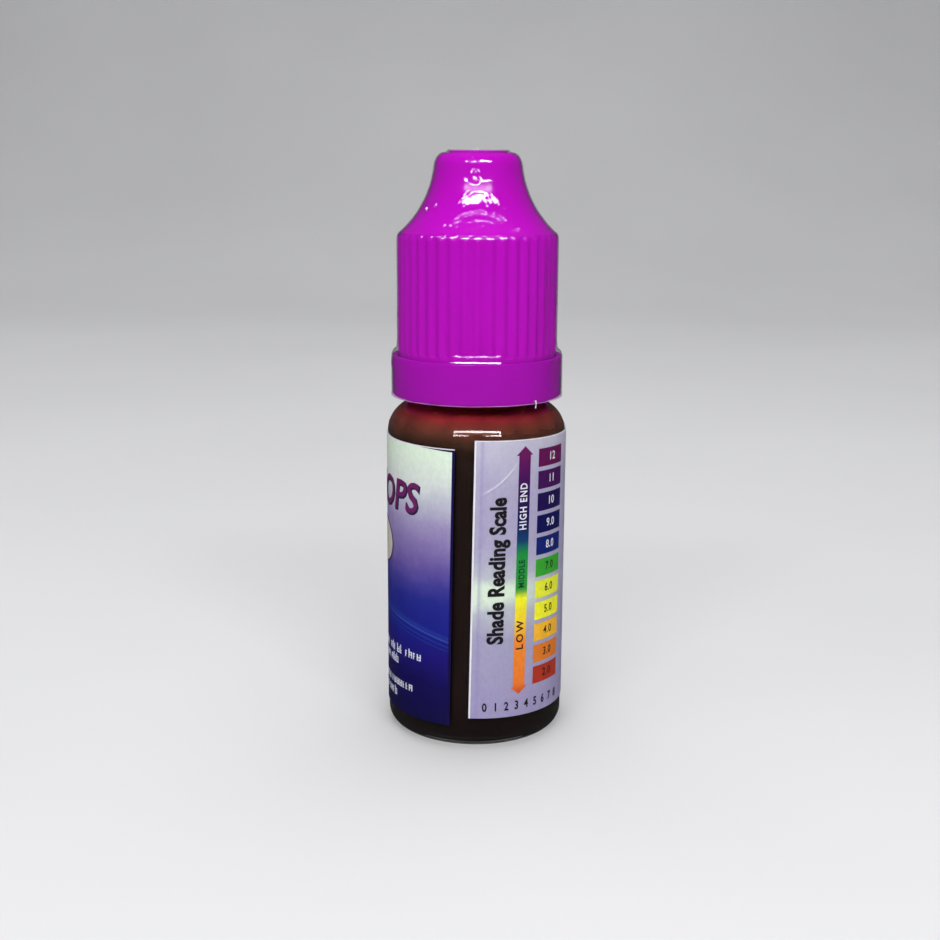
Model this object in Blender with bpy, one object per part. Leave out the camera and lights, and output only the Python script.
"""Ten millilitre dropper bottle: clear bottle, press-in dropper plug and a two-piece screw cap.

The cap is child resistant. Its ribbed shell turns idly until it is pressed down, when lugs inside
the shell drop between the teeth of the threaded inner cap. A tamper band stays behind on the neck,
a clear shrink seal covers the whole cap and one wraparound label covers the body.

Outlines are (radius, height) pairs in millimetres. Meshes are written in metres, +Z up, with the
origin at the centre of the base. The front of the bottle faces -Y.
"""

import math

import bmesh
import bpy
from mathutils import Vector

MM = 0.001
MERGE = 1e-7

# Facets around each turned piece
FACETS = 40
BAND_FACETS = 60
FILM_FACETS = 40
PLUG_FACETS = 30

# Bottle
BODY_RADIUS = 11.0
WALL = 0.9
HEEL = 2.0
BASE_RING_INNER = 7.4
PUSH_UP = 0.9
BASE_THICKNESS = 1.0
SHOULDER_START = 37.7
SHOULDER = 4.0
NECK_RADIUS = 6.3
NECK_BORE = 5.0
NECK_TOP = 57.4
BEAD_RADIUS = 7.7
BEAD_UNDERSIDE = 45.1

# Screw thread, right-handed, one start
PITCH = 3.0
THREAD_CREST = 7.0
THREAD_START = 49.2
THREAD_TURNS = 1.5
THREAD_STEPS_PER_TURN = 24
CAP_THREAD_DROP = 1.3
CAP_THREAD_CREST = 6.5
CAP_THREAD_TURNS = 1.25

# Dropper plug
PLUG_TIP = 67.0
PLUG_FOOT = 52.5
ORIFICE = 0.45
PLUG_FIT = 0.05

# Inner cap
SKIRT_FOOT = 47.0
SKIRT_OUTER = 8.2
SKIRT_BORE = 7.3
SKIRT_FLANGE = 8.45
CAP_DECK = 59.5
CAP_CEILING = 58.5
PIN_RADIUS = 0.3

# Drive teeth of the inner cap and lugs of the shell
DRIVE_COUNT = 10
TOOTH_HEIGHT = 0.7
LUG_DROP = 0.8

# Outer shell
SHELL_TOP = 71.25
BOSS_TOP = 71.55
BOSS_RADIUS = 3.5
TOP_EDGE_CENTRE = (4.1, 70.25)
TOP_EDGE_RADIUS = 1.0
SHELL_FOOT = 46.2
SHELL_BORE = 8.6
SHELL_CEILING = 61.3
GROOVE_RADIUS = 9.35
RIB_RADIUS = 9.65
RIB_COUNT = 40
RIB_FOOT = 47.85
COLLAR_RING = 9.6
COLLAR_RING_FOOT = 47.0
RIB_HEAD = 61.7
SHELL_FACETS = 2 * RIB_COUNT

# Tamper band
BAND_FOOT = 42.4
BAND_TOP = 47.3
BAND_RADIUS = 10.35
COLLAR_BORE = 9.8
HOOK_RADIUS = 7.15
HOOK_TOP = 44.7
HOOK_TABS = 10

# Shrink seal
FILM_THICKNESS = 0.08
FILM_GAP = 0.06
SEAL_HOLE = 3.62

# Label: one strip, stuck on with a slight skew
LABEL_INNER = 11.04
LABEL_OUTER = 11.13
LABEL_HEIGHT = 34.4
LABEL_LENGTH = 67.3
LABEL_SKEW = math.radians(0.95)
LABEL_START = math.radians(-4.0)
LABEL_FOOT = 4.12
LABEL_COLUMNS = 48

# Liquid
LIQUID_GAP = 0.06
LIQUID_LEVEL = 43.0

SMOOTH_ANGLE = math.radians(35.0)


def clear_scene():
    for item in list(bpy.data.objects):
        bpy.data.objects.remove(item, do_unlink=True)


def make_material(name, colour, roughness, metallic=0.0, transmission=0.0):
    material = bpy.data.materials.new(name)
    material.use_nodes = True
    shader = material.node_tree.nodes["Principled BSDF"]
    shader.inputs["Base Color"].default_value = (*colour, 1.0)
    shader.inputs["Roughness"].default_value = roughness
    shader.inputs["Metallic"].default_value = metallic
    shader.inputs["Transmission Weight"].default_value = transmission
    return material


def link_mesh(name, bm, material):
    """Turn a finished bmesh into a smooth-shaded object in the scene."""
    bmesh.ops.remove_doubles(bm, verts=bm.verts[:], dist=MERGE)
    bmesh.ops.recalc_face_normals(bm, faces=bm.faces[:])
    mesh = bpy.data.meshes.new(name)
    bm.to_mesh(mesh)
    bm.free()
    mesh.shade_smooth()
    mesh.set_sharp_from_angle(angle=SMOOTH_ANGLE)
    mesh.materials.append(material)
    piece = bpy.data.objects.new(name, mesh)
    bpy.context.collection.objects.link(piece)
    return piece


def arc(centre, radius, start, end, steps):
    """Points on an arc in the radius-height plane; angles are in degrees from the outward axis."""
    points = []
    for step in range(steps + 1):
        angle = math.radians(start + (end - start) * step / steps)
        points.append((centre[0] + radius * math.cos(angle), centre[1] + radius * math.sin(angle)))
    return points


def curve(start, control, end, steps):
    """Points on a quadratic Bezier curve."""
    points = []
    for step in range(steps + 1):
        t = step / steps
        weights = ((1 - t) ** 2, 2 * t * (1 - t), t ** 2)
        points.append(tuple(
            weights[0] * start[k] + weights[1] * control[k] + weights[2] * end[k] for k in (0, 1)))
    return points


def offset(points, distance):
    """Move an outline that runs downwards outwards by a distance, mitred at its corners."""
    moved = []
    for index, point in enumerate(points):
        here = Vector(point)
        before = Vector(points[max(index - 1, 0)])
        after = Vector(points[min(index + 1, len(points) - 1)])
        normals = []
        for line in (here - before, after - here):
            if line.length > 0:
                normals.append(Vector((-line.y, line.x)).normalized())
        mitre = sum(normals, Vector((0.0, 0.0))).normalized()
        stretch = distance / max(mitre.dot(normals[0]), 0.5)
        moved.append((point[0] + mitre.x * stretch, point[1] + mitre.y * stretch))
    return moved


def turn(outline, facets):
    """Spin an outline about the Z axis. An outline that leaves the axis must return to it."""
    bm = bmesh.new()
    verts = [bm.verts.new((radius * MM, 0.0, height * MM)) for radius, height in outline]
    edges = [bm.edges.new(pair) for pair in zip(verts, verts[1:])]
    if outline[0][0] > 0.0:
        edges.append(bm.edges.new((verts[-1], verts[0])))
    bmesh.ops.spin(bm, geom=verts + edges, cent=(0, 0, 0), axis=(0, 0, 1),
                   angle=math.tau, steps=facets, use_merge=True)
    bmesh.ops.remove_doubles(bm, verts=bm.verts[:], dist=MERGE)
    return bm


def turned_piece(name, outline, facets, material):
    return link_mesh(name, turn(outline, facets), material)


def polar(vert):
    """Radius and height of a vertex in millimetres, and its angle in radians from 0 to 2 pi."""
    radius = math.hypot(vert.co.x, vert.co.y) / MM
    return radius, vert.co.z / MM, math.atan2(vert.co.y, vert.co.x) % math.tau


def move_to(vert, radius, height, angle):
    vert.co = (radius * MM * math.cos(angle), radius * MM * math.sin(angle), height * MM)


def column_of(angle, facets):
    return round(angle / math.tau * facets) % facets


def near(value, target):
    return abs(value - target) < 0.004


def thread_ridge(name, root, crest, start_height, start_turn, turns, root_width, crest_width, material):
    """A trapezoid swept up a right-handed helix, shrinking at both ends."""
    bm = bmesh.new()
    steps = round(turns * THREAD_STEPS_PER_TURN)
    rings = []
    for step in range(steps + 1):
        turn_now = step / THREAD_STEPS_PER_TURN
        angle = math.tau * (start_turn + turn_now)
        height = start_height + PITCH * turn_now
        size = min(1.0, 0.2 + 0.2 * min(step, steps - step))
        tip = root + (crest - root) * (0.55 + 0.45 * size)
        section = ((root, -root_width / 2 * size), (root, root_width / 2 * size),
                   (tip, crest_width / 2 * size), (tip, -crest_width / 2 * size))
        ring = []
        for radius, rise in section:
            vert = bm.verts.new((0, 0, 0))
            move_to(vert, radius, height + rise, angle)
            ring.append(vert)
        rings.append(ring)
    for low, high in zip(rings, rings[1:]):
        for side in range(4):
            following = (side + 1) % 4
            bm.faces.new((low[side], low[following], high[following], high[side]))
    bm.faces.new(rings[0])
    bm.faces.new(rings[-1])
    ridge = link_mesh(name, bm, material)
    ridge.hide_render = True
    ridge.display_type = "WIRE"
    return ridge


def join_with(piece, helper):
    union = piece.modifiers.new("thread", "BOOLEAN")
    union.operation = "UNION"
    union.solver = "EXACT"
    union.object = helper


def bottle_floor():
    """The inside of the base, from the axis out to the wall."""
    bore = BODY_RADIUS - WALL
    corner = HEEL - 0.8
    crown = curve((0.0, PUSH_UP + BASE_THICKNESS), (4.0, PUSH_UP + BASE_THICKNESS),
                  (bore - corner, BASE_THICKNESS), 3)
    return crown[:-1] + arc((bore - corner, BASE_THICKNESS + corner), corner, -90, 0, 2)


def build_bottle(material):
    shoulder_centre = (BODY_RADIUS - SHOULDER, SHOULDER_START)
    outline = [(NECK_BORE, NECK_TOP), (NECK_RADIUS - 0.2, NECK_TOP), (NECK_RADIUS, NECK_TOP - 0.2)]
    outline += [(NECK_RADIUS, BEAD_UNDERSIDE + 1.4), (BEAD_RADIUS, BEAD_UNDERSIDE + 0.6)]
    outline += [(BEAD_RADIUS, BEAD_UNDERSIDE), (NECK_RADIUS, BEAD_UNDERSIDE)]
    outline += [(NECK_RADIUS, 42.2), (NECK_RADIUS + 0.15, 41.85)]
    outline += arc(shoulder_centre, SHOULDER, 90, 0, 6)
    outline += arc((BODY_RADIUS - HEEL, HEEL), HEEL, 0, -90, 3)
    outline += [(BASE_RING_INNER, 0.0)]
    outline += curve((BASE_RING_INNER - 0.9, 0.4), (4.0, PUSH_UP), (0.0, PUSH_UP), 2)
    outline += bottle_floor()
    outline += arc(shoulder_centre, SHOULDER - WALL, 0, 90, 4)
    outline += [(NECK_BORE + 0.5, shoulder_centre[1] + SHOULDER - WALL), (NECK_BORE, 41.4)]
    piece = turned_piece("bottle", outline, FACETS, material)
    ridge = thread_ridge("bottle_thread_form", NECK_RADIUS - 0.3, THREAD_CREST, THREAD_START, 0.0,
                         THREAD_TURNS, 1.7, 0.7, material)
    join_with(piece, ridge)
    return piece


def build_liquid(material):
    """The filling, up to a level at the foot of the neck."""
    shoulder = SHOULDER - WALL - LIQUID_GAP
    ceiling = SHOULDER_START + shoulder
    floor = offset(list(reversed(bottle_floor())), -LIQUID_GAP)
    floor[-1] = (0.0, PUSH_UP + BASE_THICKNESS + LIQUID_GAP)
    outline = [(0.0, LIQUID_LEVEL), (NECK_BORE - LIQUID_GAP, LIQUID_LEVEL)]
    outline += [(NECK_BORE - LIQUID_GAP, 41.37), (NECK_BORE + 0.48, ceiling)]
    outline += arc((BODY_RADIUS - SHOULDER, SHOULDER_START), shoulder, 90, 0, 5)
    return turned_piece("liquid", outline + floor, FACETS, material)


def build_label(material):
    """One strip bent round the body; its ends meet a little out of line at the front."""
    bm = bmesh.new()
    middle = (LABEL_INNER + LABEL_OUTER) / 2
    columns = []
    for column in range(LABEL_COLUMNS + 1):
        along = LABEL_LENGTH * column / LABEL_COLUMNS
        corners = []
        for up, radius in ((0.0, LABEL_OUTER), (LABEL_HEIGHT, LABEL_OUTER),
                           (LABEL_HEIGHT, LABEL_INNER), (0.0, LABEL_INNER)):
            sweep = along * math.cos(LABEL_SKEW) + up * math.sin(LABEL_SKEW)
            height = LABEL_FOOT - along * math.sin(LABEL_SKEW) + up * math.cos(LABEL_SKEW)
            vert = bm.verts.new((0, 0, 0))
            move_to(vert, radius, height, LABEL_START + sweep / middle - math.pi / 2)
            corners.append(vert)
        columns.append(corners)
    for left, right in zip(columns, columns[1:]):
        for side in range(4):
            following = (side + 1) % 4
            bm.faces.new((left[side], right[side], right[following], left[following]))
    bm.faces.new(columns[0])
    bm.faces.new(columns[-1])
    return link_mesh("wrap_label", bm, material)


def build_plug(material):
    fin = NECK_BORE - PLUG_FIT
    barrel = NECK_BORE - 0.35
    outline = [(ORIFICE, PLUG_TIP), (1.15, PLUG_TIP), (1.35, PLUG_TIP - 0.25)]
    outline += curve((1.55, 64.0), (1.9, 59.0), (3.6, 58.4), 4)
    outline += [(3.8, 58.2), (6.0, 58.2), (6.0, 57.6), (barrel, 57.6)]
    for height in (56.4, 54.9):
        outline += [(barrel, height + 0.3), (fin, height), (barrel, height - 0.3)]
    outline += [(barrel, PLUG_FOOT + 0.5), (barrel - 0.3, PLUG_FOOT), (3.9, PLUG_FOOT)]
    outline += [(3.7, 56.6)]
    outline += curve((2.9, 57.6), (1.2, 58.6), (0.85, 64.0), 3)
    outline += [(0.7, 65.8), (ORIFICE, 66.0)]
    return turned_piece("dropper_plug", outline, PLUG_FACETS, material)


def raise_teeth(bm):
    """Lift drive teeth from the inner cap's deck, one column of facets wide."""
    spacing = FACETS // DRIVE_COUNT
    for vert in bm.verts:
        radius, height, angle = polar(vert)
        on_deck = near(height, CAP_DECK) and (near(radius, 6.6) or near(radius, 7.9))
        if on_deck and column_of(angle, FACETS) % spacing == 0:
            move_to(vert, radius, CAP_DECK + TOOTH_HEIGHT, angle)


def build_inner_cap(material):
    outline = [(0.0, 69.0), (2.2, 69.0), (2.6, 68.6), (4.4, 60.2), (4.9, 59.7), (5.4, CAP_DECK)]
    outline += [(6.4, CAP_DECK), (6.6, CAP_DECK), (7.9, CAP_DECK), (SKIRT_OUTER, CAP_DECK - 0.4)]
    outline += [(SKIRT_OUTER, SKIRT_FOOT + 0.8), (SKIRT_FLANGE, SKIRT_FOOT + 0.5)]
    outline += [(SKIRT_FLANGE, SKIRT_FOOT), (SKIRT_BORE + 0.2, SKIRT_FOOT)]
    outline += [(SKIRT_BORE, SKIRT_FOOT + 0.3), (SKIRT_BORE, CAP_CEILING), (4.4, CAP_CEILING)]
    outline += [(4.1, 58.8), (2.6, 61.4), (2.0, 67.4), (1.6, 68.1), (PIN_RADIUS, 68.1)]
    outline += [(PIN_RADIUS, 66.1), (0.12, 65.9), (0.0, 65.9)]
    bm = turn(outline, FACETS)
    raise_teeth(bm)
    piece = link_mesh("inner_cap", bm, material)
    ridge = thread_ridge("cap_thread_form", SKIRT_BORE + 0.3, CAP_THREAD_CREST,
                         THREAD_START - CAP_THREAD_DROP + PITCH / 4, 0.25, CAP_THREAD_TURNS,
                         1.5, 0.6, material)
    join_with(piece, ridge)
    return piece


def nose_line(steps):
    """The shell's concave nose, from its rounded top edge down to the heads of the ribs."""
    return curve((5.13, 70.15), (5.7, 65.2), (9.3, 61.95), steps)


def raise_ribs(bm):
    """Push every other column of the grip out to the crest of a rib."""
    for vert in bm.verts:
        radius, height, angle = polar(vert)
        in_rib = near(height, RIB_HEAD - 0.35) or near(height, RIB_FOOT + 0.25)
        if in_rib and near(radius, GROOVE_RADIUS) and column_of(angle, SHELL_FACETS) % 2 == 0:
            move_to(vert, RIB_RADIUS, height, angle)


def drop_lugs(bm):
    """Lower drive lugs from the shell's ceiling, midway between the teeth of the inner cap."""
    spacing = SHELL_FACETS // DRIVE_COUNT
    for vert in bm.verts:
        radius, height, angle = polar(vert)
        on_ceiling = near(height, SHELL_CEILING) and (near(radius, 6.7) or near(radius, 7.9))
        if on_ceiling and column_of(angle, SHELL_FACETS) % spacing == spacing // 2:
            move_to(vert, radius, SHELL_CEILING - LUG_DROP, angle)


def build_outer_shell(material):
    outline = [(0.0, BOSS_TOP), (BOSS_RADIUS - 0.15, BOSS_TOP), (BOSS_RADIUS, BOSS_TOP - 0.12)]
    outline += [(BOSS_RADIUS + 0.04, SHELL_TOP)]
    outline += arc(TOP_EDGE_CENTRE, TOP_EDGE_RADIUS, 90, 15, 3)
    outline += nose_line(5)
    outline += [(GROOVE_RADIUS, RIB_HEAD), (GROOVE_RADIUS, RIB_HEAD - 0.35)]
    outline += [(GROOVE_RADIUS, RIB_FOOT + 0.25), (COLLAR_RING, RIB_FOOT - 0.05)]
    outline += [(COLLAR_RING, COLLAR_RING_FOOT), (GROOVE_RADIUS, COLLAR_RING_FOOT - 0.2)]
    outline += [(GROOVE_RADIUS, SHELL_FOOT + 0.2), (GROOVE_RADIUS - 0.2, SHELL_FOOT)]
    outline += [(SHELL_BORE - 0.15, SHELL_FOOT), (SHELL_BORE - 0.35, SHELL_FOOT + 0.15)]
    outline += [(SHELL_BORE - 0.35, SHELL_FOOT + 0.4), (SHELL_BORE, SHELL_FOOT + 0.65)]
    outline += [(SHELL_BORE, SHELL_CEILING - 0.3), (SHELL_BORE - 0.3, SHELL_CEILING)]
    outline += [(7.9, SHELL_CEILING), (6.7, SHELL_CEILING), (6.3, SHELL_CEILING)]
    outline += [(6.0, 61.8), (5.3, 64.6), (4.4, 69.2), (4.1, 70.2), (0.0, 70.35)]
    bm = turn(outline, SHELL_FACETS)
    raise_ribs(bm)
    drop_lugs(bm)
    return link_mesh("outer_shell", bm, material)


def cut_tabs(bm):
    """Draw back the retaining flange between its tabs."""
    spacing = BAND_FACETS // HOOK_TABS
    for vert in bm.verts:
        radius, height, angle = polar(vert)
        if near(radius, HOOK_RADIUS) and column_of(angle, BAND_FACETS) % spacing < 2:
            move_to(vert, COLLAR_BORE - 0.8, height, angle)


def build_tamper_band(material):
    outline = [(COLLAR_BORE, BAND_TOP - 0.1), (COLLAR_BORE + 0.06, BAND_TOP)]
    outline += arc((BAND_RADIUS - 0.25, BAND_TOP - 0.25), 0.25, 75, 0, 2)
    outline += [(BAND_RADIUS, BAND_FOOT + 0.2), (BAND_RADIUS - 0.2, BAND_FOOT)]
    outline += [(9.5, BAND_FOOT), (9.4, BAND_FOOT + 0.9), (HOOK_RADIUS, HOOK_TOP - 0.7)]
    outline += [(HOOK_RADIUS, HOOK_TOP), (9.4, HOOK_TOP + 0.1), (COLLAR_BORE, HOOK_TOP + 0.5)]
    bm = turn(outline, BAND_FACETS)
    cut_tabs(bm)
    return link_mesh("tamper_band", bm, material)


def build_shrink_seal(material):
    """A thin sleeve drawn down over the cap, with a lip that stands up round the boss on its top."""
    skin = FILM_GAP + FILM_THICKNESS / 2
    line = [(SEAL_HOLE, SHELL_TOP + 0.4), (SEAL_HOLE + 0.3, SHELL_TOP + 0.12)]
    line += offset(arc(TOP_EDGE_CENTRE, TOP_EDGE_RADIUS, 90, 15, 3) + nose_line(4), skin)
    line += [(RIB_RADIUS + skin, RIB_HEAD - 0.3), (RIB_RADIUS + skin, 50.2)]
    line += [(BAND_RADIUS + skin, BAND_TOP + 0.6), (BAND_RADIUS + skin, BAND_FOOT - 0.1)]
    outside = offset(line, FILM_THICKNESS / 2)
    inside = offset(line, -FILM_THICKNESS / 2)
    return turned_piece("shrink_seal", outside + list(reversed(inside)), FILM_FACETS, material)


def build():
    clear_scene()
    clear_pet = make_material("clear_pet", (0.93, 0.93, 0.92), 0.05, transmission=1.0)
    natural = make_material("natural_polyethylene", (0.85, 0.86, 0.84), 0.45)
    purple_shell = make_material("purple_shell", (0.62, 0.0, 0.62), 0.25)
    purple_band = make_material("purple_band", (0.58, 0.0, 0.58), 0.25)
    white_inner = make_material("white_inner_cap", (0.86, 0.85, 0.86), 0.4)
    film = make_material("clear_film", (0.96, 0.96, 0.96), 0.08, transmission=1.0)
    paper = make_material("coated_paper", (0.62, 0.6, 0.72), 0.35)
    reagent = make_material("reagent", (0.09, 0.012, 0.012), 0.05, transmission=1.0)
    build_bottle(clear_pet)
    build_liquid(reagent)
    build_label(paper)
    build_plug(natural)
    cap_axis = bpy.data.objects.new("cap_axis", None)
    cap_axis.location = (0.0, 0.0, SKIRT_FOOT * MM)
    bpy.context.collection.objects.link(cap_axis)
    cap_pieces = (build_tamper_band(purple_band), build_inner_cap(white_inner),
                  build_outer_shell(purple_shell), build_shrink_seal(film))
    bpy.context.view_layer.update()
    for piece in cap_pieces:
        piece.parent = cap_axis
        piece.matrix_parent_inverse = cap_axis.matrix_world.inverted()


build()
